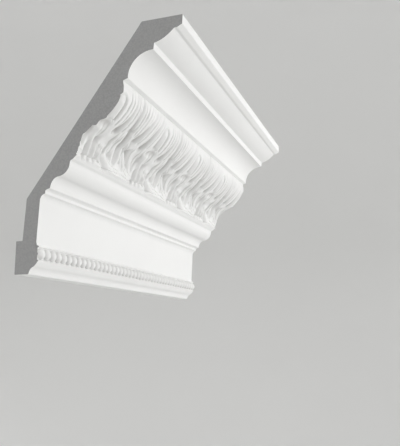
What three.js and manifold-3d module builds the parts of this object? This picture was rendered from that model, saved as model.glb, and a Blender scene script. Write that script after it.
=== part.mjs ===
// Cornice moulding length: one cast piece with a carved leaf band and a bead row.
// Millimetres, +Z up. The run lies along X, its back faces +Y and its carved face looks to -Y.
// The origin is the middle of the flat strip at the foot of the back, which meets the wall.
import * as THREE from "three";
import { mergeVertices } from "three/addons/utils/BufferGeometryUtils.js";
import Module from "manifold-3d";

// Overall sizes. "Out" is measured from the wall, "down" from the ceiling.
// The leaf band takes up a change of the projection, and the plain face one of the height.
const projection = 150;
const height = 210;
const leafPitch = 95;
const leafRepeats = 4;
const runLength = leafPitch * leafRepeats;

// Top edge and the egg-shaped round below it
const topFilletHeight = 8.2;
const topFilletTaper = 0.4;
const topQuirkWidth = 7.5;
const topQuirkHeight = 2.5;
const upperRoundWidth = 17.7;
const upperRoundHeight = 10.5;
const upperRoundBulge = 3.4;
const topQuirkOut = projection - topQuirkWidth;
const topQuirkDown = topFilletHeight + topQuirkHeight;
const upperRoundOut = topQuirkOut - upperRoundWidth;
const upperRoundDown = topQuirkDown + upperRoundHeight;

// Hollow above the leaf band
const coveRadius = 22.2;
const coveFilletHeight = 5.6;
const coveFilletWidth = 1.3;
const coveCentreOut = upperRoundOut - coveFilletWidth;
const coveCentreDown = upperRoundDown + coveFilletHeight + coveRadius;

// Bead row and the small curved foot
const beadsPerLeaf = 11;
const beadRadius = 4.9;
const beadNeck = 0.45;
const beadSunk = 0.7;
const beadBedStep = 1.5;
const beadEdgeHeight = 1.6;
const footWidth = 13.5;
const footHeight = 12.1;
const beadRowDown = height - footHeight - beadRadius;

// Plain face, which leans back a little towards its foot
const faceFootOut = 19.9;
const faceLean = 1.6;
const faceFilletHeight = 5.4;
const faceTopOut = faceFootOut + faceLean;
const faceFootDown = beadRowDown - beadRadius - faceFilletHeight;
const beadBedOut = faceFootOut + beadBedStep;
const beadEdgeOut = beadBedOut + beadEdgeHeight;
const beadRowOut = beadBedOut - beadSunk;

// Lip, hollow and round between the plain face and the leaf band
const lipWidth = 4.8;
const lipHeight = 2.6;
const lipStepWidth = 4.5;
const lipStepHeight = 1.8;
const lipCurveHeight = 5.1;
const lowerHollowWidth = 7;
const lowerHollowHeight = 9.6;
const lowerRoundRadius = 11.2;
const lipOut = faceTopOut + lipWidth;
const lowerHollowOut = lipOut + lipStepWidth;
const lowerRoundOut = lowerHollowOut + lowerHollowWidth;

// Leaf band, with its edges and the members that follow it downwards
const bandHeight = 61.9;
const bandEdgeWidth = 4.2;
const bandEdgeHeight = 1.3;
const bandFootStep = 4.6;
const bandColumns = 36;
const bandRows = 22;
const skinBehindBand = 5;
// How far into a leaf repeat the left end is sawn
const cutPhase = 8.7;
const bandTopOut = coveCentreOut - coveRadius - bandEdgeWidth;
const bandTopDown = coveCentreDown + bandEdgeHeight;
const bandFootOut = lowerRoundOut + lowerRoundRadius + bandFootStep;
const bandFootDown = bandTopDown + bandHeight;
const lowerRoundDown = bandFootDown + bandFootStep;
const lowerHollowDown = lowerRoundDown + lowerRoundRadius + lowerHollowHeight;
const lipDown = lowerHollowDown + lipStepHeight;
const faceTopDown = lipDown + lipHeight + lipCurveHeight;

// The line that the band's surface follows, as shares of its width from its foot outwards
// and of its height from its top down
const bandLine = [
  [1.005, 0],
  [1.016, 0.116],
  [0.989, 0.221],
  [0.883, 0.351],
  [0.699, 0.488],
  [0.48, 0.585],
  [0.297, 0.641],
  [0.182, 0.714],
  [0.113, 0.819],
  [0.046, 0.977],
];

// Back of the moulding: a strip under the ceiling, a slope, and a strip on the wall
const ceilingStrip = 36.8;
const wallStrip = 28.4;
const backStep = 6.2;
const backKneeOut = 8.3;
const backKneeRise = 1.8;
const backKneeDown = faceTopDown - backKneeRise;

// The trimming cut takes this much off each end
const overrun = 2;

const wallStripCentre = height - wallStrip / 2;

const white = new THREE.MeshStandardMaterial({
  color: new THREE.Color(0.88, 0.88, 0.87),
  roughness: 0.75,
  metalness: 0,
});

// Solids for joining and cutting
const wasm = await Module();
wasm.setup();

function solidFrom(geometry) {
  const bare = geometry.index ? geometry.clone() : geometry;
  bare.deleteAttribute("normal");
  bare.deleteAttribute("uv");
  const merged = mergeVertices(bare, 1e-4);
  return new wasm.Manifold(
    new wasm.Mesh({
      numProp: 3,
      vertProperties: Float32Array.from(merged.attributes.position.array),
      triVerts: Uint32Array.from(merged.index.array),
    }),
  );
}

function geometryFrom(solid) {
  const mesh = solid.getMesh();
  const geometry = new THREE.BufferGeometry();
  geometry.setAttribute("position", new THREE.BufferAttribute(mesh.vertProperties, 3));
  geometry.setIndex(new THREE.BufferAttribute(mesh.triVerts, 1));
  geometry.computeVertexNormals();
  return geometry;
}

// Section of the plain moulding, with the leaf band cut back to a straight skin. The bare
// numbers are small bevels, and how far a bend is pulled from the line between its ends.
function backLineOut(down) {
  const slope = (projection - ceilingStrip - backKneeOut) / backKneeDown;
  return backKneeOut + (backKneeDown - down) * slope;
}

function skinLineOut(down, thickness) {
  const slope = (projection - ceilingStrip - backKneeOut) / backKneeDown;
  return backLineOut(down) + thickness * Math.hypot(1, slope);
}

function sectionShape() {
  const shape = new THREE.Shape();
  shape.moveTo(projection - ceilingStrip, 0);
  shape.lineTo(projection, 0);
  shape.lineTo(projection - topFilletTaper, -topFilletHeight);
  shape.lineTo(topQuirkOut + topQuirkHeight, -topQuirkDown);
  shape.lineTo(topQuirkOut, -topQuirkDown);
  shape.quadraticCurveTo(
    (topQuirkOut + upperRoundOut) / 2 + 0.6,
    -(topQuirkDown + upperRoundDown) / 2 - upperRoundBulge,
    upperRoundOut,
    -upperRoundDown,
  );
  shape.lineTo(coveCentreOut + coveFilletWidth / 2, -(coveCentreDown - coveRadius));
  shape.lineTo(coveCentreOut, -(coveCentreDown - coveRadius));
  shape.absarc(coveCentreOut, -coveCentreDown, coveRadius, Math.PI / 2, Math.PI, false);
  shape.lineTo(bandTopOut, -bandTopDown);
  shape.lineTo(skinLineOut(bandTopDown, skinBehindBand), -bandTopDown);
  shape.lineTo(skinLineOut(bandFootDown - 1, skinBehindBand), -(bandFootDown - 1));
  shape.lineTo(bandFootOut - 0.6, -(bandFootDown - 1));
  shape.lineTo(bandFootOut, -bandFootDown);
  shape.lineTo(bandFootOut - 1.5, -(bandFootDown + 1.6));
  shape.lineTo(lowerRoundOut + lowerRoundRadius + 0.6, -(lowerRoundDown - 1.7));
  shape.lineTo(lowerRoundOut + lowerRoundRadius, -lowerRoundDown);
  shape.absarc(lowerRoundOut, -lowerRoundDown, lowerRoundRadius, 0, -Math.PI / 2, true);
  shape.quadraticCurveTo(
    lowerHollowOut + 0.8,
    -(lowerRoundDown + lowerRoundRadius + 2),
    lowerHollowOut,
    -lowerHollowDown,
  );
  shape.lineTo(lipOut + 1.7, -(lowerHollowDown + 0.7));
  shape.lineTo(lipOut, -lipDown);
  shape.lineTo(lipOut, -(lipDown + lipHeight));
  shape.quadraticCurveTo(faceTopOut + 0.9, -(lipDown + lipHeight + 0.6), faceTopOut, -faceTopDown);
  shape.lineTo(faceFootOut, -faceFootDown);
  const bedTop = beadRowDown - beadRadius;
  const bedFoot = beadRowDown + beadRadius;
  shape.lineTo(faceFootOut + 0.6, -(bedTop - 2.6));
  shape.lineTo(beadEdgeOut, -(bedTop - 1.2));
  shape.lineTo(beadBedOut, -bedTop);
  shape.lineTo(beadBedOut, -(bedFoot - 0.2));
  shape.lineTo(beadEdgeOut, -(bedFoot + 0.6));
  shape.lineTo(beadEdgeOut - 0.9, -(bedFoot + 1.6));
  const footMiddleOut = (beadEdgeOut + footWidth) / 2 - 0.9;
  const footMiddleDown = (bedFoot + 1.6 + height) / 2 - 0.7;
  shape.quadraticCurveTo(footMiddleOut + 2, -(footMiddleDown - 0.6), footMiddleOut, -footMiddleDown);
  shape.quadraticCurveTo(footWidth + 1, -(footMiddleDown + 1.4), footWidth, -height);
  shape.lineTo(0, -height);
  shape.lineTo(0, -(height - wallStrip));
  shape.lineTo(backStep, -(height - wallStrip));
  shape.lineTo(backKneeOut, -backKneeDown);
  shape.closePath();
  return shape;
}

function plainMoulding() {
  const geometry = new THREE.ExtrudeGeometry(sectionShape(), {
    depth: runLength + 2 * overrun,
    steps: 1,
    curveSegments: 7,
    bevelEnabled: false,
  });
  const outward = new THREE.Vector3(0, -1, 0);
  const upward = new THREE.Vector3(0, 0, 1);
  const along = new THREE.Vector3(-1, 0, 0);
  geometry.applyMatrix4(new THREE.Matrix4().makeBasis(outward, upward, along));
  geometry.translate(runLength / 2 + overrun, 0, wallStripCentre);
  return solidFrom(geometry);
}

// Leaf ornament. One repeat is drawn on a strip leafPitch wide, and "across" runs down the band.
// Each mark is a bent stroke, with a width at each end and a depth at start, middle and end.
function stroke(path, widths, depths) {
  const points = path.map(([along, across]) => new THREE.Vector2(along, across));
  const line = new THREE.SplineCurve(points).getPoints(12);
  return { line, widths, depths };
}

const fingerPitch = 9;
const fingerFirst = 22.5;
const fingerCount = 3;
const eyeAlong = 13.4;
const eyeAcross = 18;
const eyeHalf = 6.2;
const eyeRise = 8;
const eyeFoot = 34;

// The groove that arches over the leaf's eye
function eyeArch() {
  const path = [[eyeAlong - eyeHalf, eyeFoot]];
  for (let k = 0; k <= 4; k += 1) {
    const turn = (k * Math.PI) / 4;
    path.push([eyeAlong - eyeHalf * Math.cos(turn), eyeAcross - eyeRise * Math.sin(turn)]);
  }
  path.push([eyeAlong + eyeHalf, eyeFoot]);
  return path;
}

function leafGrooves() {
  const grooves = [
    // between the upper lobes, deepening towards the soffit
    stroke([[38.5, 0], [38.6, 20], [36, 42]], [6, 8], [0.4, 2.2, 4.2]),
    stroke([[53, 0], [52, 17], [53.5, 33]], [6, 7.5], [1.2, 3, 5]),
    stroke([[62, 0], [62.5, 15], [62, 32]], [4, 4], [0.2, 0.9, 0.3]),
    stroke([[84, 1], [76, 19], [70.5, 40]], [6, 7], [0.5, 2.6, 5]),
    stroke([[99, 1], [92, 18], [88.5, 42]], [6, 7], [0.5, 2.6, 5]),
    stroke(eyeArch(), [3.6, 3.6], [3.2, 2.8, 3.2]),
    // across the soffit, bending towards the foot of the next lobe
    stroke([[53.5, 33], [60, 46], [65.5, 58], [68, 70]], [7.5, 6.5], [5, 5, 2]),
    stroke([[80, 54], [88, 60], [99, 69]], [6, 5], [4.4, 3.6, 1.4]),
    stroke([[5, 46], [10.5, 54], [11, 68]], [4, 4], [1, 3.2, 2]),
    // sweep between the fingers and the leaf's lower body
    stroke([[45, 69], [52, 74], [61, 81]], [7, 7], [3.6, 3.6, 2.6]),
    stroke([[66, 73], [80, 75], [97, 70]], [4, 4], [0.2, 1.2, 0.4]),
  ];
  for (let k = 0; k <= fingerCount; k += 1) {
    const gap = fingerFirst + (k - 0.5) * fingerPitch;
    const path = [[gap, 63], [gap + 0.3, 72], [gap + 0.2, 80 - 1.5 * k]];
    grooves.push(stroke(path, [4.4, 4.4], [1.5, 3.2, 2.2]));
  }
  return grooves;
}

function leafRibs() {
  const ribs = [
    stroke([[eyeAlong, 19], [eyeAlong, 33]], [3.6, 4], [1.2, 1.6, 2]),
    stroke([[14, 48], [18, 58], [fingerFirst, 68]], [5, 5], [1.2, 2.6, 2]),
    stroke([[46, 44], [46, 56], [45.5, 68]], [5, 5], [0.6, 2.2, 1.4]),
    stroke([[72.5, 56], [73, 64], [72, 71]], [4.4, 4.4], [1, 2, 0.4]),
    stroke([[61, 60], [61, 69]], [3.6, 3.6], [1, 1.4, 1.8]),
    stroke([[77, 61], [86, 68], [99, 73]], [5, 5], [1, 2.4, 0.6]),
    stroke([[52, 69], [60, 73], [72, 77], [88, 77]], [6, 6], [0.3, 1.6, 0.8]),
  ];
  for (let k = 0; k < fingerCount; k += 1) {
    const finger = fingerFirst + k * fingerPitch;
    const path = [[finger, 62], [finger, 70], [finger + 0.4, 79 - 2.4 * k]];
    ribs.push(stroke(path, [4.6, 4.6], [1.2, 2.6, 1.8]));
  }
  return ribs;
}

// Drilled hollows: place along and across, half width, half height and depth
const leafPits = [
  [27.5, 60, 4.5, 6, 5],
  [36, 42, 4.5, 7, 2.4],
  [16, 41, 8, 6, 2.6],
  [9, 43, 4, 6, 2],
  [53.5, 33, 4.5, 6, 1.6],
  [70.5, 41, 4, 8, 3],
  [88.5, 43, 4, 8, 3],
  [80, 53, 4.5, 5, 3],
  [56, 66, 3.6, 4, 3],
  [39.5, 65, 4.5, 3.5, 2],
  [96, 66, 4, 4, 1.5],
];

const grooves = leafGrooves();
const ribs = leafRibs();

function grooveShape(far) {
  return (1 - far) ** 1.7;
}

function ribShape(far) {
  return 0.5 + 0.5 * Math.cos(Math.PI * far);
}

// How far a stroke cuts or rises at a point, with the given shape from its line to its edge
function strokeLevel(mark, shape, along, across) {
  let best = 0;
  const last = mark.line.length - 1;
  const [start, middle, end] = mark.depths;
  for (let k = 0; k < last; k += 1) {
    const a = mark.line[k];
    const b = mark.line[k + 1];
    const dx = b.x - a.x;
    const dy = b.y - a.y;
    const reach = ((along - a.x) * dx + (across - a.y) * dy) / (dx * dx + dy * dy);
    const t = Math.min(1, Math.max(0, reach));
    const gap = Math.hypot(along - a.x - t * dx, across - a.y - t * dy);
    const s = (k + t) / last;
    const width = mark.widths[0] + (mark.widths[1] - mark.widths[0]) * s;
    const first = start + (middle - start) * 2 * s;
    const depth = s < 0.5 ? first : middle + (end - middle) * (2 * s - 1);
    if (gap < width) best = Math.max(best, depth * shape(gap / width));
  }
  return best;
}

function pitLevel([atAlong, atAcross, reach, tall, depth], along, across) {
  const x = (along - atAlong) / reach;
  const y = (across - atAcross) / tall;
  return depth * Math.exp(-2 * (x * x + y * y));
}

// Height of the carving above the band's own line, repeating every leafPitch
function carving(along, across) {
  const place = ((along % leafPitch) + leafPitch) % leafPitch;
  let cut = 0;
  let rise = 0;
  let hollow = 0;
  for (const at of [place - leafPitch, place, place + leafPitch]) {
    for (const mark of grooves) cut = Math.max(cut, strokeLevel(mark, grooveShape, at, across));
    for (const mark of ribs) rise = Math.max(rise, strokeLevel(mark, ribShape, at, across));
    for (const pit of leafPits) hollow += pitLevel(pit, at, across);
  }
  return rise - cut - hollow;
}

// The leaf band as a block: its front follows the carving and its back lies inside the skin
function leafBand() {
  const bandWidth = bandTopOut - bandFootOut;
  const points = bandLine.map(
    ([out, down]) =>
      new THREE.Vector2(bandFootOut + out * bandWidth, bandTopDown + down * bandHeight),
  );
  const line = new THREE.SplineCurve(points);
  const columns = leafRepeats * bandColumns + 2;
  const rows = bandRows + 2;
  const geometry = new THREE.BoxGeometry(1, 1, 1, columns, 1, rows);
  const position = geometry.attributes.position;
  const bandLength = line.getLength();
  for (let n = 0; n < position.count; n += 1) {
    const column = Math.round((position.getX(n) + 0.5) * columns);
    const row = Math.round((0.5 - position.getZ(n)) * rows);
    const inside = Math.min(columns - 1, Math.max(1, column)) - 1;
    let x = (inside * leafPitch) / bandColumns - runLength / 2;
    if (column === 0) x -= overrun;
    if (column === columns) x += overrun;
    let out = 0;
    let down = 0;
    if (row === 0) {
      out = bandTopOut - 2;
      down = bandTopDown - 2;
    } else if (row === rows) {
      out = bandFootOut - 2.4;
      down = bandFootDown + 0.6;
    } else {
      const share = (row - 1) / (rows - 2);
      const point = line.getPointAt(share);
      const tangent = line.getTangentAt(share);
      const lift = carving(x + runLength / 2 + cutPhase, share * bandLength);
      out = point.x + tangent.y * lift;
      down = point.y - tangent.x * lift;
    }
    if (position.getY(n) > 0) {
      down = bandTopDown - 2 + ((bandFootDown - bandTopDown + 2.6) * row) / rows;
      out = skinLineOut(down, skinBehindBand / 2);
    }
    position.setXYZ(n, x, -out, wallStripCentre - down);
  }
  return solidFrom(geometry);
}

// Row of touching beads, turned about one line, with its back half inside the moulding
function beadString() {
  const beads = leafRepeats * beadsPerLeaf;
  const pitch = leafPitch / beadsPerLeaf;
  const start = -runLength / 2;
  const points = [new THREE.Vector2(0, start - overrun)];
  points.push(new THREE.Vector2(beadRadius * beadNeck, start - overrun));
  for (let bead = 0; bead < beads; bead += 1) {
    for (let step = 0; step < 4; step += 1) {
      const turn = (step / 4) * Math.PI;
      const radius = beadRadius * (beadNeck + (1 - beadNeck) * Math.sqrt(Math.sin(turn)));
      points.push(new THREE.Vector2(radius, start + (bead + step / 4) * pitch));
    }
  }
  points.push(new THREE.Vector2(beadRadius * beadNeck, -start));
  points.push(new THREE.Vector2(beadRadius * beadNeck, -start + overrun));
  points.push(new THREE.Vector2(0, -start + overrun));
  const geometry = new THREE.LatheGeometry(points, 8);
  geometry.rotateZ(-Math.PI / 2);
  geometry.translate(0, -beadRowOut, wallStripCentre - beadRowDown);
  return solidFrom(geometry);
}

function trimmingBox() {
  const box = new THREE.BoxGeometry(runLength, projection * 2, height * 3);
  box.translate(0, -projection / 2, wallStripCentre - height / 2);
  return solidFrom(box);
}

const moulding = plainMoulding().add(leafBand()).add(beadString()).intersect(trimmingBox());

const cornice = new THREE.Group();
const body = new THREE.Mesh(geometryFrom(moulding), white);
body.name = "cornice_moulding";
cornice.add(body);

export default cornice;
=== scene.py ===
"""Finished look of a cornice moulding length: carved leaf band, coves, plain face and bead row.

The moulding is modelled one leaf repeat at a time, in metres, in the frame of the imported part.
Lengths in the section tables are millimetres, as (out from the wall, down from the ceiling).
"""
import math

import bmesh
import bpy
import numpy as np
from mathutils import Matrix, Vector


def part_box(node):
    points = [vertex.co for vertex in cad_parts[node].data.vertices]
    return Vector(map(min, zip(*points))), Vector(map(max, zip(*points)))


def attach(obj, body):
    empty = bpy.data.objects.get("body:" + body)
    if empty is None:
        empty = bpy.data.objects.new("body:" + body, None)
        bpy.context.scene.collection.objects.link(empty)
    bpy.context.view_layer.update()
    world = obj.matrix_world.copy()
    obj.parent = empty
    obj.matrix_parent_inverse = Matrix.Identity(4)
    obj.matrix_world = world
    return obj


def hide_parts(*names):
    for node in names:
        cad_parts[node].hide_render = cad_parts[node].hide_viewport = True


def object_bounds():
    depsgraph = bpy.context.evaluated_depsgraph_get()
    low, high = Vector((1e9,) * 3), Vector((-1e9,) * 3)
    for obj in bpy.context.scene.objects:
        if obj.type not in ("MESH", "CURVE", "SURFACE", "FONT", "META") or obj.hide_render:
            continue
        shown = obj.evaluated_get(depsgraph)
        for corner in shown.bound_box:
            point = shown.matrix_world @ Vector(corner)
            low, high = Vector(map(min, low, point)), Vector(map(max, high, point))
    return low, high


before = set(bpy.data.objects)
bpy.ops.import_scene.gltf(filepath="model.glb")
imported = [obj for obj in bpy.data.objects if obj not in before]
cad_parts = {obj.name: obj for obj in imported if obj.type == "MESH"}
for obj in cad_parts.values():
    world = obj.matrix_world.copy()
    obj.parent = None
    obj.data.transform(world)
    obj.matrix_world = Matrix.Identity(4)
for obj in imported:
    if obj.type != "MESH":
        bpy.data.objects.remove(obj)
CAD_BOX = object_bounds()
NODE = "cornice_moulding"
NODE_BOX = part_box(NODE)
RUN_LENGTH = NODE_BOX[1][0] - NODE_BOX[0][0]

bl_info = {
    "name": "Cornice moulding length",
    "version": (1, 0, 0),
    "blender": (4, 5, 0),
    "location": "View3D > Sidebar > Cornice",
    "description": "Builds a length of cornice with a carved leaf band and a bead row",
    "category": "Object",
}

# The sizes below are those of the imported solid, in millimetres. CUT_PHASE is how far into a leaf
# repeat the left end is sawn, and the origin lies WALL_STRIP_CENTRE below the ceiling.
MM = 0.001
LEAF_PITCH = 95.0
CUT_PHASE = 8.7
WALL_STRIP_CENTRE = 195.8
BEADS_PER_LEAF = 11


# Curves that the section and the carving share

def spline(points, steps):
    """Smooth line through a few points, with even steps between them."""
    knots = np.array(points, float)
    last = len(knots) - 1
    line = []
    for k in range(steps + 1):
        place = last * k / steps
        i = min(int(place), last - 1)
        w = place - i
        before, here = knots[max(i - 1, 0)], knots[i]
        after, beyond = knots[i + 1], knots[min(i + 2, last)]
        pull_in = (after - before) / 2
        pull_out = (beyond - here) / 2
        line.append(
            (2 * here - 2 * after + pull_in + pull_out) * w ** 3
            + (-3 * here + 3 * after - 2 * pull_in - pull_out) * w ** 2
            + pull_in * w
            + here
        )
    return np.array(line)


def bend(start, control, end, steps):
    """Points of a one-bend curve after its start."""
    a, b, c = (np.array(p, float) for p in (start, control, end))
    t = np.linspace(0, 1, steps + 1)[1:, None]
    return [tuple(p) for p in (1 - t) ** 2 * a + 2 * t * (1 - t) * b + t * t * c]


def arc(centre, radius, turn_from, turn_to, steps):
    """Points of a round after its start, with turns in degrees from straight out, up positive."""
    turns = np.radians(np.linspace(turn_from, turn_to, steps + 1)[1:])
    return [(centre[0] + radius * math.cos(a), centre[1] - radius * math.sin(a)) for a in turns]


# Leaf carving

FINGER_PITCH = 9
FINGER_FIRST = 22.5
FINGER_COUNT = 3
EYE_ALONG = 13.4
EYE_ACROSS = 18
EYE_HALF = 6.2
EYE_RISE = 8
EYE_FOOT = 34


def eye_arch():
    """Groove that arches over the leaf's eye."""
    path = [(EYE_ALONG - EYE_HALF, EYE_FOOT)]
    for k in range(5):
        turn = k * math.pi / 4
        path.append((EYE_ALONG - EYE_HALF * math.cos(turn), EYE_ACROSS - EYE_RISE * math.sin(turn)))
    path.append((EYE_ALONG + EYE_HALF, EYE_FOOT))
    return path


def leaf_grooves():
    """Cuts of one repeat: path, widths at its ends, depths at start, middle and end."""
    cuts = [
        ([(38.5, 0), (38.6, 20), (36, 42)], (6, 8), (0.4, 2.2, 4.2)),
        ([(53, 0), (52, 17), (53.5, 33)], (6, 7.5), (1.2, 3, 5)),
        ([(62, 0), (62.5, 15), (62, 32)], (4, 4), (0.2, 0.9, 0.3)),
        ([(84, 1), (76, 19), (70.5, 40)], (6, 7), (0.5, 2.6, 5)),
        ([(99, 1), (92, 18), (88.5, 42)], (6, 7), (0.5, 2.6, 5)),
        (eye_arch(), (3.6, 3.6), (3.4, 1.6, 3.4)),
        ([(53.5, 33), (60, 46), (65.5, 58), (68, 70)], (7.5, 6.5), (5, 5, 2)),
        ([(80, 54), (88, 60), (99, 69)], (6, 5), (4.4, 3.6, 1.4)),
        ([(5, 46), (10.5, 54), (11, 68)], (4, 4), (1, 3.2, 2)),
        ([(45, 69), (52, 74), (61, 81)], (7, 7), (3.6, 3.6, 2.6)),
        ([(66, 73), (80, 75), (97, 70)], (4, 4), (0.2, 1.2, 0.4)),
    ]
    for k in range(FINGER_COUNT + 1):
        gap = FINGER_FIRST + (k - 0.5) * FINGER_PITCH
        path = [(gap, 63), (gap + 0.3, 72), (gap + 0.2, 80 - 1.5 * k)]
        cuts.append((path, (4.4, 4.4), (1.5, 3.2, 2.2)))
    return cuts


def leaf_ribs():
    """Raised ridges of one repeat, given as the cuts are."""
    ridges = [
        ([(EYE_ALONG, 19), (EYE_ALONG, 33)], (3.6, 4), (1.2, 1.6, 2)),
        ([(14, 48), (18, 58), (FINGER_FIRST, 68)], (5, 5), (1.2, 2.6, 2)),
        ([(46, 44), (46, 56), (45.5, 68)], (5, 5), (0.6, 2.2, 1.4)),
        ([(72.5, 56), (73, 64), (72, 71)], (4.4, 4.4), (1, 2, 0.4)),
        ([(61, 60), (61, 69)], (3.6, 3.6), (1, 1.4, 1.8)),
        ([(77, 61), (86, 68), (99, 73)], (5, 5), (1, 2.4, 0.6)),
        ([(52, 69), (60, 73), (72, 77), (88, 77)], (6, 6), (0.3, 1.6, 0.8)),
    ]
    for k in range(FINGER_COUNT):
        finger = FINGER_FIRST + k * FINGER_PITCH
        path = [(finger, 62), (finger, 68), (finger + 0.3, 73.5 - 1.2 * k)]
        ridges.append((path, (4.6, 4.6), (1.2, 2.6, 2.2)))
    return ridges


# How much grooves and folds narrow on their steep side, and the share of its depth that a fold
# has at its start, middle and end
GROOVE_STEEP = 0.6
FOLD_STEEP = 0.45
FOLD_DEPTHS = (0.2, 0.9, 0.7)

# Fine work that the solid leaves out. Folds run between two guides: first guide, second guide,
# how many, half width and depth.
LEAF_FOLDS = [
    ([(20.5, 3), (21.5, 18), (21, 35)], [(38.5, 0), (38.6, 20), (36, 42)], 2, 3.2, 1.6),
    ([(38.5, 0), (38.6, 20), (36, 42)], [(53, 0), (52, 17), (53.5, 33)], 2, 3.0, 1.5),
    ([(53, 0), (52, 17), (53.5, 33)], [(84, 1), (76, 19), (70.5, 40)], 4, 3.2, 1.6),
    ([(84, 1), (76, 19), (70.5, 40)], [(99, 1), (92, 18), (88.5, 42)], 2, 3.0, 1.5),
    ([(99, 1), (92, 18), (88.5, 42)], [(109, 2), (102.5, 18), (100, 36)], 1, 2.4, 1.2),
    ([(37, 43), (39, 56), (40, 66)], [(53, 36), (57, 49), (63, 64)], 3, 2.8, 1.6),
    ([(57, 34), (66, 50), (72, 66)], [(73, 43), (81, 60), (96, 72)], 3, 2.8, 1.6),
    ([(88, 44), (92, 54), (99, 64)], [(74, 45), (82, 56), (96, 69)], 1, 2.4, 1.2),
    ([(-7, 44), (-2, 56), (6, 68)], [(6, 42), (10, 52), (13, 66)], 2, 2.6, 1.4),
    ([(48, 66), (60, 71), (80, 74)], [(56, 76), (72, 79), (97, 78)], 3, 2.2, 1.0),
    ([(-8, 58), (2, 67), (13, 72)], [(-8, 74), (2, 77), (14, 78)], 3, 2.4, 1.2),
    ([(12, 44), (16, 56), (20, 66)], [(24, 38), (27, 46), (31, 54)], 2, 2.4, 1.2),
    ([(18, 62), (18, 68), (18, 75)], [(45, 61), (45, 67), (45, 72)], 5, 1.6, 1.0),
]
FOOT_CHANNEL = [(-6, 76.2), (8, 77.6), (20, 75.6), (30, 75.6), (42, 74.6), (54, 78), (72, 78),
                (89, 76.2)]


def leaf_folds():
    """Fine cuts of one repeat, with the channel that sets the leaves off from the foot."""
    cuts = [(FOOT_CHANNEL, (2.6, 2.6), (1.4, 1.6, 1.4))]
    for first, second, count, reach, depth in LEAF_FOLDS:
        for k in range(count):
            share = (k + 1) / (count + 1)
            path = [tuple((1 - share) * a + share * b for a, b in zip(p, q))
                    for p, q in zip(first, second)]
            depths = tuple(part * depth for part in FOLD_DEPTHS)
            cuts.append((path, (reach, 0.8 * reach), depths))
    return cuts


# Drilled hollows: place along and across, half width, half height and depth
LEAF_PITS = [
    (27.5, 60, 4.5, 6, 5),
    (36, 42, 4.5, 7, 2.4),
    (16, 41, 8, 6, 2.6),
    (9, 43, 4, 6, 2),
    (53.5, 33, 4.5, 6, 1.6),
    (70.5, 41, 4, 8, 3),
    (88.5, 43, 4, 8, 3),
    (80, 53, 4.5, 5, 3),
    (56, 66, 3.6, 4, 3),
    (39.5, 65, 4.5, 3.5, 2),
    (96, 66, 4, 4, 1.5),
]


def groove_shape(far):
    return (1 - far) ** 1.7


def rib_shape(far):
    return 0.5 + 0.5 * np.cos(np.pi * far)


def stroke_level(mark, shape, along, across, steep=1.0):
    """How far a stroke acts at each point, largest on its own line.

    A steep below one narrows the stroke on the side that a downward stroke has to its right, so
    that leaves seem to lie over one another.
    """
    path, widths, depths = mark
    line = spline(path, 12)
    last = len(line) - 1
    best = np.zeros_like(along)
    for k in range(last):
        a, b = line[k], line[k + 1]
        step = b - a
        t = ((along - a[0]) * step[0] + (across - a[1]) * step[1]) / (step @ step)
        t = np.clip(t, 0, 1)
        gap = np.hypot(along - a[0] - t * step[0], across - a[1] - t * step[1])
        s = (k + t) / last
        width = widths[0] + (widths[1] - widths[0]) * s
        right = (along - a[0]) * step[1] > (across - a[1]) * step[0]
        width = np.where(right, steep * width, width)
        depth = np.interp(s, (0, 0.5, 1), depths)
        best = np.maximum(best, depth * shape(np.minimum(gap / width, 1)))
    return best


def carving(along, across):
    """Height of the carving above the band's line, in millimetres, repeating every pitch."""
    cut = np.zeros_like(along)
    rise = np.zeros_like(along)
    fold = np.zeros_like(along)
    hollow = np.zeros_like(along)
    place = np.mod(along, LEAF_PITCH)
    folds = leaf_folds()
    for turn in (-LEAF_PITCH, 0, LEAF_PITCH):
        at = place + turn
        for mark in leaf_grooves():
            cut = np.maximum(cut, stroke_level(mark, groove_shape, at, across, GROOVE_STEEP))
        for mark in leaf_ribs():
            rise = np.maximum(rise, stroke_level(mark, rib_shape, at, across))
        for mark in folds:
            fold = np.maximum(fold, stroke_level(mark, groove_shape, at, across, FOLD_STEEP))
        for at_along, at_across, reach, tall, depth in LEAF_PITS:
            x = (at - at_along) / reach
            y = (across - at_across) / tall
            hollow += depth * np.exp(-2 * (x * x + y * y))
    return rise - cut - hollow - fold


# Section of the moulding: the leaf band's own line, and the edges that it runs between. Its rows
# lie BAND_DROP lower than the line, so that the first one is clear of the edge above.
BAND_TOP = (97.1, 50.3)
BAND_LINE = [
    (97.3, 50.3), (97.8, 57.5), (96.6, 64), (92, 72), (84, 80.5),
    (74.5, 86.5), (66.5, 90), (61.5, 94.5), (58.5, 101), (55.6, 110.8),
]
BAND_FOOT = (53.6, 112.2)
BAND_DROP = 0.12

# The bead row's centre line, and the flat bed that it stands on. A bead is nearly a ball, cut off
# at BEAD_REACH of its half length, where it meets the next one. Its rows go BEAD_TURN degrees up
# and down from straight out, and the bed's rows lie BED_MARGIN beyond them.
BEAD_RADIUS = 4.9
BEAD_REACH = 0.96
BEAD_OUT = 20.7
BEAD_DOWN = 193.0
BED_OUT = 21.4
BED_TOP = BEAD_DOWN - BEAD_RADIUS
BED_FOOT = BEAD_DOWN + BEAD_RADIUS
BED_MARGIN = 0.02
BEAD_TURN = 86

# Rounding of a corner starts ARRIS away from it, and a bend of fewer degrees than STRAIGHT stays
ARRIS = 0.45
STRAIGHT = 18


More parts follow.
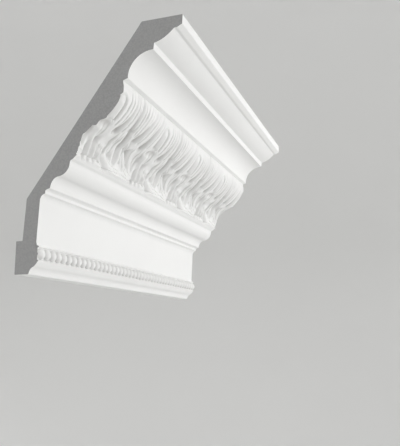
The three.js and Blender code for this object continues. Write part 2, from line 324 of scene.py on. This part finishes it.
def soften(corners, reach=ARRIS):
    """A broken line with its corners rounded a little, but not its ends or its faint bends."""
    line = [corners[0]]
    for k in range(1, len(corners) - 1):
        a, b, c = (np.array(p, float) for p in corners[k - 1:k + 2])
        to_a, to_c = a - b, c - b
        size_a, size_c = np.linalg.norm(to_a), np.linalg.norm(to_c)
        turn = math.degrees(math.acos(np.clip(-(to_a @ to_c) / (size_a * size_c), -1, 1)))
        if turn < STRAIGHT:
            line.append(tuple(b))
            continue
        start = b + to_a / size_a * min(reach, 0.35 * size_a)
        end = b + to_c / size_c * min(reach, 0.35 * size_c)
        line.append(tuple(start))
        line.extend(bend(start, b, end, 3))
    line.append(corners[-1])
    return line


def upper_section():
    """Top edge, upper round and cove, from the back of the ceiling strip to the leaf band."""
    line = [(113.2, 0), (150, 0), (149.6, 8.2), (145, 10.7), (142.5, 10.7)]
    line += bend((142.5, 10.7), (134.25, 19.35), (124.8, 21.2), 14)
    line += [(124.1, 26.8), (123.5, 26.8)]
    line += arc((123.5, 49), 22.2, 90, 180, 24)
    line += [BAND_TOP]
    return soften(line)


def middle_section():
    """From the leaf band's foot to the top of the bead row's bed."""
    line = [BAND_FOOT, (52.1, 113.8), (49.6, 115.1), (49, 116.8)]
    line += arc((37.8, 116.8), 11.2, 0, -90, 16)
    line += bend((37.8, 128), (31.6, 130), (30.8, 137.6), 12)
    line += [(28, 138.3), (26.3, 139.4), (26.3, 142)]
    line += bend((26.3, 142), (22.4, 142.6), (21.5, 147.1), 8)
    line += [(19.9, 182.7), (20.5, 185.5), (23, 186.9), (BED_OUT, BED_TOP)]
    return soften(line)


def lower_section():
    """From the foot of the bead row's bed round the foot and up the back."""
    line = [(BED_OUT, BED_FOOT - 0.2), (23, 198.5), (22.1, 199.5)]
    line += bend((22.1, 199.5), (19.35, 203.45), (17.35, 204.05), 8)
    line += bend((17.35, 204.05), (14.5, 205.45), (13.5, 210), 8)
    line += [(0, 210), (0, 181.6), (6.2, 181.6), (8.3, 145.3)]
    return soften(line)


class Sheet:
    """Rows of points along one repeat, joined into faces as they are laid down.

    Each face is bare foam or primed, and each point carries the painted shade that its primer takes
    in hollows and on the beads.
    """

    def __init__(self):
        self.points = []
        self.faces = []
        self.bare = []
        self.hollow = []
        self.first = None
        self.last = None

    def row(self, along, out, down, bare=0.0, hollow=None):
        along = np.asarray(along, float)
        out = np.broadcast_to(out, along.shape)
        down = np.broadcast_to(down, along.shape)
        shade = np.zeros(along.shape) if hollow is None else hollow
        start = len(self.points)
        for x, p, q in zip(along, out, down):
            self.points.append((x * MM, -p * MM, (WALL_STRIP_CENTRE - q) * MM))
        self.hollow.extend(float(v) for v in shade)
        here = list(range(start, len(self.points)))
        if self.last is not None:
            self.join(self.last, here, bare)
        else:
            self.first = here
        self.last = here

    def join(self, above, below, bare):
        if len(above) == len(below):
            for k in range(len(above) - 1):
                self.add((above[k], below[k], below[k + 1], above[k + 1]), bare)
        else:
            self.add(tuple(above[:1] + below + above[:0:-1]), bare)

    def add(self, face, bare):
        self.faces.append(face)
        self.bare.append(bare)

    def close(self, bare):
        self.join(self.last, self.first, bare)


def blur(field, reach):
    """Soft average of a field that repeats sideways."""
    steps = np.arange(-reach * 3, reach * 3 + 1)
    weights = np.exp(-0.5 * (steps / reach) ** 2)
    weights /= weights.sum()
    across = sum(w * np.roll(field, s, axis=1) for s, w in zip(steps, weights))
    rows = np.arange(field.shape[0])
    return sum(w * across[np.clip(rows + s, 0, rows[-1])] for s, w in zip(steps, weights))


# Painted shade in the band is told from the height's soft averages, darkest in its hollows: reach
# in steps, full depth and share. The strength of the painted shade, and the painted shade added to
# darken the down-facing soffit, run down the band from millimetre to millimetre.
HOLLOW_SCALES = ((3, 0.8, 0.4), (7, 2.2, 0.4), (16, 3.5, 0.3))
SHADE_STRENGTH = ((4, 30, 50, 62), (0.1, 1.1, 1.1, 0.15))
SHADE_ADDED = ((20, 34, 48, 58), (0, 0.3, 0.3, 0))


def hollow_shade(lift, across):
    """Painted shade at each point of the band, from how deep it lies, least at its top and foot and
    most in its soffit.
    """
    shade = np.zeros_like(lift)
    for reach, depth, share in HOLLOW_SCALES:
        shade += share * np.clip((blur(lift, reach) - lift) / depth, -0.4, 1)
    shade *= np.interp(across, *SHADE_STRENGTH)[:, None]
    return shade + np.interp(across, *SHADE_ADDED)[:, None]


def band_rows(sheet, columns, rows):
    """Carved leaf band between its two straight edges."""
    along = np.linspace(0, LEAF_PITCH, columns + 1)
    line = spline(BAND_LINE, 200)
    walked = np.concatenate([[0], np.cumsum(np.hypot(*np.diff(line, axis=0).T))])
    across = np.linspace(0, walked[-1], rows)
    out = np.interp(across, walked, line[:, 0])
    down = np.interp(across, walked, line[:, 1])
    lean_out = np.gradient(out, across)
    lean_down = np.gradient(down, across)
    size = np.hypot(lean_out, lean_down)
    lean_out, lean_down = lean_out / size, lean_down / size
    grid_along, grid_across = np.meshgrid(along[:-1] + CUT_PHASE, across)
    lift = carving(grid_along, grid_across)
    # Painted shade, darker in the carving's hollows and in the soffit
    shade = hollow_shade(lift, across)
    lift = np.hstack([lift, lift[:, :1]])
    shade = np.hstack([shade, shade[:, :1]])
    sheet.row(along, *BAND_TOP)
    for k in range(rows):
        row_out = out[k] + lean_down[k] * lift[k]
        row_down = down[k] - lean_out[k] * lift[k] + BAND_DROP
        sheet.row(along, row_out, row_down, hollow=shade[k])
    sheet.row(along, *BAND_FOOT)


def bead_rows(sheet, per_bead, turns):
    """Row of touching beads, standing out of a flat bed."""
    steps = BEADS_PER_LEAF * per_bead
    along = np.linspace(0, LEAF_PITCH, steps + 1)
    place = np.mod(np.arange(steps + 1), per_bead) / per_bead
    wave = np.sqrt(1 - (BEAD_REACH * (2 * place - 1)) ** 2)
    radius = BEAD_RADIUS * wave
    sheet.row(along, BED_OUT, BED_TOP - BED_MARGIN)
    for turn in np.radians(np.linspace(BEAD_TURN, -BEAD_TURN, turns)):
        out = np.maximum(BEAD_OUT + radius * math.cos(turn), BED_OUT)
        down = BEAD_DOWN - radius * math.sin(turn)
        # Painted shade: darker at the necks between beads and towards each bead's top and bottom
        shade = (1 - wave) * 0.6 + 0.35 * abs(math.sin(turn)) ** 3
        sheet.row(along, out, down, hollow=shade)
    sheet.row(along, BED_OUT, BED_FOOT + BED_MARGIN)


# Rows of the lower section that are nearer to the wall and higher up than this lie on the back
BACK_REACH = 13
BACK_FOOT = 209.9


def repeat_mesh(columns, rows, per_bead, turns):
    """One leaf repeat of the moulding, open at both ends."""
    sheet = Sheet()
    ends = (0, LEAF_PITCH)
    for out, down in upper_section()[:-1]:
        sheet.row(ends, out, down)
    band_rows(sheet, columns, rows)
    for out, down in middle_section()[1:-1]:
        sheet.row(ends, out, down)
    bead_rows(sheet, per_bead, turns)
    for out, down in lower_section()[1:]:
        on_back = out < BACK_REACH and down < BACK_FOOT
        sheet.row(ends, out, down, bare=1.0 if on_back else 0.0)
    sheet.close(1.0)
    mesh = bpy.data.meshes.new("cornice_repeat")
    mesh.from_pydata(sheet.points, [], sheet.faces)
    mesh.attributes.new("bare", "FLOAT", "FACE").data.foreach_set("value", sheet.bare)
    # The hollow attribute carries the painted shade that darkens the primer
    mesh.attributes.new("hollow", "FLOAT", "POINT").data.foreach_set("value", sheet.hollow)
    mesh.update()
    return mesh


# Nodes

class Value:
    """A node's output that takes part in plain arithmetic."""

    def __init__(self, nodes, socket):
        self.nodes = nodes
        self.socket = socket

    def math(self, operation, first, second):
        return self.nodes.make("ShaderNodeMath", {"operation": operation}, {0: first, 1: second})

    def __add__(self, other):
        return self.math("ADD", self, other)

    def __radd__(self, other):
        return self.math("ADD", other, self)

    def __sub__(self, other):
        return self.math("SUBTRACT", self, other)

    def __rsub__(self, other):
        return self.math("SUBTRACT", other, self)

    def __mul__(self, other):
        return self.math("MULTIPLY", self, other)

    def __rmul__(self, other):
        return self.math("MULTIPLY", other, self)

    def clamp(self):
        return self.nodes.make("ShaderNodeClamp", {}, {"Value": self}, "Result")


class Nodes:
    """A node tree and the one way its nodes are made."""

    def __init__(self, tree):
        self.tree = tree

    def make(self, kind, settings, values, output=0):
        """One output of a new node, given its settings and its sockets' values or links."""
        made = self.tree.nodes.new(kind)
        for key, value in settings.items():
            setattr(made, key, value)
        self.fill(made, values)
        return Value(self, made.outputs[output])

    def fill(self, node, values):
        for key, value in values.items():
            if isinstance(value, Value):
                self.tree.links.new(value.socket, node.inputs[key])
            else:
                node.inputs[key].default_value = value


# Laying the repeats end to end

RUN_INPUTS = {
    "Repeat": "NodeSocketGeometry",
    "Count": "NodeSocketInt",
    "Pitch": "NodeSocketFloat",
    "Finish": "NodeSocketMaterial",
}
SEAM_REACH = 2e-6


def repeat_tree():
    """Tree that lays a repeat end to end along X and joins the seams, with its inputs' keys."""
    tree = bpy.data.node_groups.new("cornice_run", "GeometryNodeTree")
    keys = {name: tree.interface.new_socket(name, in_out="INPUT", socket_type=kind).identifier
            for name, kind in RUN_INPUTS.items()}
    tree.interface.new_socket("Run", in_out="OUTPUT", socket_type="NodeSocketGeometry")
    nodes = Nodes(tree)
    source = tree.nodes.new("NodeGroupInput")
    repeat, count, pitch, finish = (Value(nodes, source.outputs[name]) for name in RUN_INPUTS)
    step = nodes.make("ShaderNodeCombineXYZ", {}, {"X": pitch})
    first = nodes.make("ShaderNodeCombineXYZ", {}, {"X": -0.5 * (count * pitch)})
    line = nodes.make("GeometryNodeMeshLine", {"mode": "OFFSET"},
                      {"Count": count, "Start Location": first, "Offset": step})
    laid = nodes.make("GeometryNodeInstanceOnPoints", {}, {"Points": line, "Instance": repeat})
    real = nodes.make("GeometryNodeRealizeInstances", {}, {"Geometry": laid})
    joined = nodes.make("GeometryNodeMergeByDistance", {},
                        {"Geometry": real, "Distance": SEAM_REACH})
    run = nodes.make("GeometryNodeSetMaterial", {}, {"Geometry": joined, "Material": finish})
    nodes.fill(tree.nodes.new("NodeGroupOutput"), {"Run": run})
    return tree, keys


def laid_run(mesh, count, finish):
    """Plain mesh of the repeat laid end to end."""
    holder = bpy.data.objects.new("cornice_source", mesh)
    bpy.context.scene.collection.objects.link(holder)
    tree, keys = repeat_tree()
    run = holder.modifiers.new("run", "NODES")
    run.node_group = tree
    run[keys["Count"]] = count
    run[keys["Pitch"]] = LEAF_PITCH * MM
    run[keys["Finish"]] = finish
    bpy.context.view_layer.update()
    graph = bpy.context.evaluated_depsgraph_get()
    plain = bpy.data.meshes.new_from_object(holder.evaluated_get(graph))
    bpy.data.objects.remove(holder)
    bpy.data.meshes.remove(mesh)
    bpy.data.node_groups.remove(tree)
    return plain


def close_ends(mesh):
    """Closes both sawn ends with flat bare faces."""
    work = bmesh.new()
    work.from_mesh(mesh)
    bare = work.faces.layers.float["bare"]
    open_edges = [edge for edge in work.edges if edge.is_boundary]
    made = bmesh.ops.holes_fill(work, edges=open_edges, sides=0)["faces"]
    for face in made:
        face[bare] = 1.0
    if any(not edge.is_manifold for edge in work.edges):
        raise RuntimeError("the moulding isn't closed")
    bmesh.ops.recalc_face_normals(work, faces=work.faces)
    work.to_mesh(mesh)
    work.free()


# Finishes

class Finish(Nodes):
    """A material whose surface is one shader."""

    def __init__(self, name):
        self.material = bpy.data.materials.new(name)
        self.material.use_nodes = True
        super().__init__(self.material.node_tree)

    def attribute(self, name):
        return self.make("ShaderNodeAttribute", {"attribute_name": name}, {}, "Fac")

    def place(self):
        return self.make("ShaderNodeTexCoord", {}, {}, "Object")

    def noise(self, place, scale, detail):
        return self.make("ShaderNodeTexNoise", {},
                         {"Vector": place, "Scale": scale, "Detail": detail})

    def cells(self, place, scale):
        return self.make("ShaderNodeTexVoronoi", {}, {"Vector": place, "Scale": scale},
                         "Distance")

    def mix(self, amount, first, second):
        return self.make("ShaderNodeMix", {"data_type": "RGBA"},
                         {0: amount, 6: first, 7: second}, 2)

    def done(self, values):
        self.fill(self.tree.nodes["Principled BSDF"], values)
        return self.material


def cornice_finish(colours):
    """Matt primer on the moulded face, with painted shade in its hollows, bare foam on the sawn
    ends and the back.
    """
    finish = Finish("primed_foam")
    place = finish.place()
    bare = finish.attribute("bare")
    # hollow carries painted shade: darker primer in the band's hollows and soffit, at the beads'
    # necks and towards their tops and bottoms
    hollow = finish.attribute("hollow").clamp()
    cloud = finish.noise(place, 9.0, 3.0)
    grain = finish.noise(place, 900.0, 2.0)
    brush = finish.noise(place, 140.0, 2.0)
    cell = finish.cells(place, 620.0)
    pore = finish.cells(place, 190.0)
    # The primer takes a random mottle from cloud and painted shade from hollow
    primer = finish.mix((0.3 * cloud + 0.85 * hollow).clamp(), colours["primer"],
                        colours["primer_mottle_and_painted_shade"])
    foam = finish.mix((1.4 * cell * cloud + 0.15).clamp(), colours["foam"], colours["foam_shade"])
    height = (1 - bare) * (0.35 * grain + 0.9 * brush) + bare * (1.6 * cell + 1.1 * pore)
    bump = finish.make("ShaderNodeBump", {},
                       {"Height": height, "Strength": 0.12, "Distance": 0.0006}, "Normal")
    return finish.done({
        "Base Color": finish.mix(bare, primer, foam),
        "Roughness": 0.62 + 0.1 * brush + 0.2 * bare,
        "Normal": bump,
        "Specular IOR Level": 0.35,
    })


def plain_finish(name, colour, roughness):
    """Even studio surface with a faint mottle."""
    finish = Finish(name)
    cloud = finish.noise(finish.place(), 1.5, 2.0)
    darker = tuple(0.97 * c for c in colour[:3]) + (1.0,)
    return finish.done({
        "Base Color": finish.mix(cloud, colour, darker),
        "Roughness": roughness,
        "Specular IOR Level": 0.2,
    })


# Settings

class CorniceSizes(bpy.types.PropertyGroup):
    leaf_columns: bpy.props.IntProperty(
        name="Leaf columns", description="Steps along one leaf repeat", default=200, min=20)
    leaf_rows: bpy.props.IntProperty(
        name="Leaf rows", description="Steps down the leaf band", default=104, min=10)
    bead_steps: bpy.props.IntProperty(
        name="Bead steps", description="Steps along one bead", default=14, min=4)
    bead_turns: bpy.props.IntProperty(
        name="Bead turns", description="Rows round the front of a bead", default=13, min=3)
    smooth_angle: bpy.props.FloatProperty(
        name="Smooth angle", description="Faces that meet at less than this shade smoothly",
        default=math.radians(38), subtype="ANGLE")


def colour_setting(name, description, value):
    return bpy.props.FloatVectorProperty(
        name=name, description=description, default=value, size=4, subtype="COLOR",
        min=0, max=1)


class CorniceColours(bpy.types.PropertyGroup):
    primer: colour_setting("Primer", "Matt white primer", (0.9, 0.9, 0.895, 1))
    # Darker primer: a random mottle, and painted shade in the band's hollows, its soffit and
    # between the beads
    primer_mottle_and_painted_shade: colour_setting("Primer mottle and painted shade", "Darker primer for a random mottle and painted shade",
                                 (0.68, 0.675, 0.665, 1))
    foam: colour_setting("Foam", "Bare foam", (0.36, 0.36, 0.36, 1))
    foam_shade: colour_setting("Foam shade", "Bare foam between its cells", (0.28, 0.28, 0.28, 1))
    floor: colour_setting("Floor", "Pale studio floor and backdrop", (0.74, 0.74, 0.732, 1))


class StageSettings(bpy.types.PropertyGroup):
    floor_drop: bpy.props.FloatProperty(
        name="Floor drop", description="Floor below the foot of the moulding",
        default=0.75, unit="LENGTH")
    near_distance: bpy.props.FloatProperty(
        name="Near distance", description="Camera to the near sawn end, along the run",
        default=0.43, unit="LENGTH")
    zoom: bpy.props.FloatProperty(
        name="Zoom", description="Size of the moulding in the picture, against the photograph",
        default=2.3)
    camera_turn: bpy.props.FloatProperty(
        name="Camera turn", description="Camera's turn from along the run towards the wall",
        default=math.radians(19.2), subtype="ANGLE")
    camera_tilt: bpy.props.FloatProperty(
        name="Camera tilt", description="Camera's tilt up from level",
        default=math.radians(10.4), subtype="ANGLE")


# Operators

class CORNICE_OT_moulding(bpy.types.Operator):
    """Build the moulding and put it in place of the plain solid"""
    bl_idname = "cornice.moulding"
    bl_label = "Build moulding"

    def execute(self, context):
        sizes = context.scene.cornice_sizes
        settings = context.scene.cornice_colours
        colours = {key: tuple(getattr(settings, key))
                   for key in ("primer", "primer_mottle_and_painted_shade", "foam", "foam_shade")}
        count = round(RUN_LENGTH / (LEAF_PITCH * MM))
        if abs(count * LEAF_PITCH * MM - RUN_LENGTH) > 1e-4:
            raise RuntimeError("the packed length isn't a whole number of leaf repeats")
        finish = cornice_finish(colours)
        one = repeat_mesh(sizes.leaf_columns, sizes.leaf_rows, sizes.bead_steps, sizes.bead_turns)
        mesh = laid_run(one, count, finish)
        close_ends(mesh)
        mesh.shade_smooth()
        mesh.set_sharp_from_angle(angle=sizes.smooth_angle)
        piece = bpy.data.objects.new("cornice_carved", mesh)
        context.scene.collection.objects.link(piece)
        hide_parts(NODE)
        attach(piece, "root")
        return {"FINISHED"}


# Lights: name, place, the point they look at, size, power in watts and spread in degrees
MIDDLE = (0, -0.06, 0.1)
NEAR_END = -RUN_LENGTH / 2
LIGHTS = [
    ("key", (0.8, -1.65, 0.15), MIDDLE, (0.8, 0.8), 5.1, 100),
    ("top", (0.2, -0.9, 2.2), MIDDLE, (2.2, 1.8), 6, 180),
    ("end_fill", (NEAR_END - 1.8, 0.3, 0.5), (NEAR_END, -0.06, 0.1), (1.4, 1.4), 8, 180),
    ("back_fill", (0.4, 2.3, 1.0), MIDDLE, (2.2, 2.2), 12, 180),
]
SKY_STRENGTH = 1.15

# Backdrop in metres
BOWL_REACH = 3.4
BOWL_BEND = 1.3
BOWL_RISE = 5.0

# Photograph: how many metres one pixel spans at the near end, the end's top corner at the wall,
# and the point where the run's lines meet
METRES_PER_PIXEL = 0.0016287
PHOTO_CORNER = (63.8, 56.3)
PHOTO_MEETING = (257.1, 215.5)
FRAME_WIDTH = 400


def add_light(name, place, target, size, power, spread):
    """Soft light that looks at a point."""
    data = bpy.data.lights.new(name, "AREA")
    data.shape = "RECTANGLE"
    data.size, data.size_y = size
    data.energy = power
    data.spread = math.radians(spread)
    lamp = bpy.data.objects.new(name, data)
    lamp.location = place
    lamp.rotation_euler = (Vector(target) - Vector(place)).to_track_quat("-Z", "Y").to_euler()
    bpy.context.scene.collection.objects.link(lamp)


def add_sky(scene):
    """Even white light from all round."""
    scene.world = bpy.data.worlds.new("studio")
    scene.world.use_nodes = True
    background = scene.world.node_tree.nodes["Background"]
    background.inputs["Color"].default_value = (1, 1, 1, 1)
    background.inputs["Strength"].default_value = SKY_STRENGTH


def add_backdrop(finish, level):
    """Round floor that sweeps up into a wall all round the moulding, in one sheet."""
    flat = BOWL_REACH - BOWL_BEND
    line = [(0.0, 0.0), (flat, 0.0)]
    for k in range(1, 17):
        turn = k / 16 * math.pi / 2
        line.append((flat + BOWL_BEND * math.sin(turn), BOWL_BEND * (1 - math.cos(turn))))
    line.append((BOWL_REACH, BOWL_RISE))
    work = bmesh.new()
    chain = [work.verts.new((x, 0, level + z)) for x, z in line]
    edges = [work.edges.new(pair) for pair in zip(chain, chain[1:])]
    bmesh.ops.spin(work, geom=chain + edges, axis=(0, 0, 1), cent=(0, 0, 0),
                   angle=2 * math.pi, steps=96, use_merge=True)
    bmesh.ops.remove_doubles(work, verts=work.verts, dist=1e-5)
    bmesh.ops.recalc_face_normals(work, faces=work.faces)
    mesh = bpy.data.meshes.new("studio_floor")
    work.to_mesh(mesh)
    work.free()
    mesh.shade_smooth()
    mesh.materials.append(finish)
    floor = bpy.data.objects.new("studio_floor", mesh)
    bpy.context.scene.collection.objects.link(floor)


def set_camera(scene, stage):
    """Camera on the line where the run's edges meet in the photograph, turned to the moulding."""
    out = (PHOTO_MEETING[0] - PHOTO_CORNER[0]) * METRES_PER_PIXEL
    down = (PHOTO_MEETING[1] - PHOTO_CORNER[1]) * METRES_PER_PIXEL
    data = bpy.data.cameras.new("camera")
    data.sensor_fit = "HORIZONTAL"
    data.sensor_width = 36
    focal_pixels = stage.near_distance / METRES_PER_PIXEL * stage.zoom
    data.lens = focal_pixels / FRAME_WIDTH * data.sensor_width
    data.clip_start = 0.01
    camera = bpy.data.objects.new("camera", data)
    camera.location = (NEAR_END - stage.near_distance, -out, CAD_BOX[1][2] - down)
    level = math.radians(90)
    camera.rotation_euler = (level + stage.camera_tilt, 0, stage.camera_turn - level)
    scene.collection.objects.link(camera)
    scene.camera = camera


class CORNICE_OT_stage(bpy.types.Operator):
    """Set up the floor, the lights and the camera"""
    bl_idname = "cornice.stage"
    bl_label = "Set up stage"

    def execute(self, context):
        scene = context.scene
        stage = scene.cornice_stage
        floor_finish = plain_finish("pale_floor", tuple(scene.cornice_colours.floor), 0.9)
        add_backdrop(floor_finish, CAD_BOX[0][2] - stage.floor_drop)
        for light in LIGHTS:
            add_light(*light)
        add_sky(scene)
        set_camera(scene, stage)
        scene.view_settings.view_transform = "Standard"
        return {"FINISHED"}


# Sidebar and registering

class CORNICE_PT_sidebar(bpy.types.Panel):
    """Cornice tools"""
    bl_idname = "CORNICE_PT_sidebar"
    bl_label = "Cornice"
    bl_space_type = "VIEW_3D"
    bl_region_type = "UI"
    bl_category = "Cornice"

    def draw(self, context):
        scene = context.scene
        for group in (scene.cornice_sizes, scene.cornice_colours, scene.cornice_stage):
            for key in group.__annotations__:
                self.layout.prop(group, key)
        for operator in (CORNICE_OT_moulding, CORNICE_OT_stage):
            self.layout.operator(operator.bl_idname)


CLASSES = (CorniceSizes, CorniceColours, StageSettings, CORNICE_OT_moulding, CORNICE_OT_stage,
           CORNICE_PT_sidebar)


def register():
    for item in CLASSES:
        bpy.utils.register_class(item)
    bpy.types.Scene.cornice_sizes = bpy.props.PointerProperty(type=CorniceSizes)
    bpy.types.Scene.cornice_colours = bpy.props.PointerProperty(type=CorniceColours)
    bpy.types.Scene.cornice_stage = bpy.props.PointerProperty(type=StageSettings)


def unregister():
    del bpy.types.Scene.cornice_stage
    del bpy.types.Scene.cornice_colours
    del bpy.types.Scene.cornice_sizes
    for item in reversed(CLASSES):
        bpy.utils.unregister_class(item)


def main():
    register()
    bpy.ops.cornice.moulding()
    bpy.ops.cornice.stage()


if __name__ == "__main__":
    main()
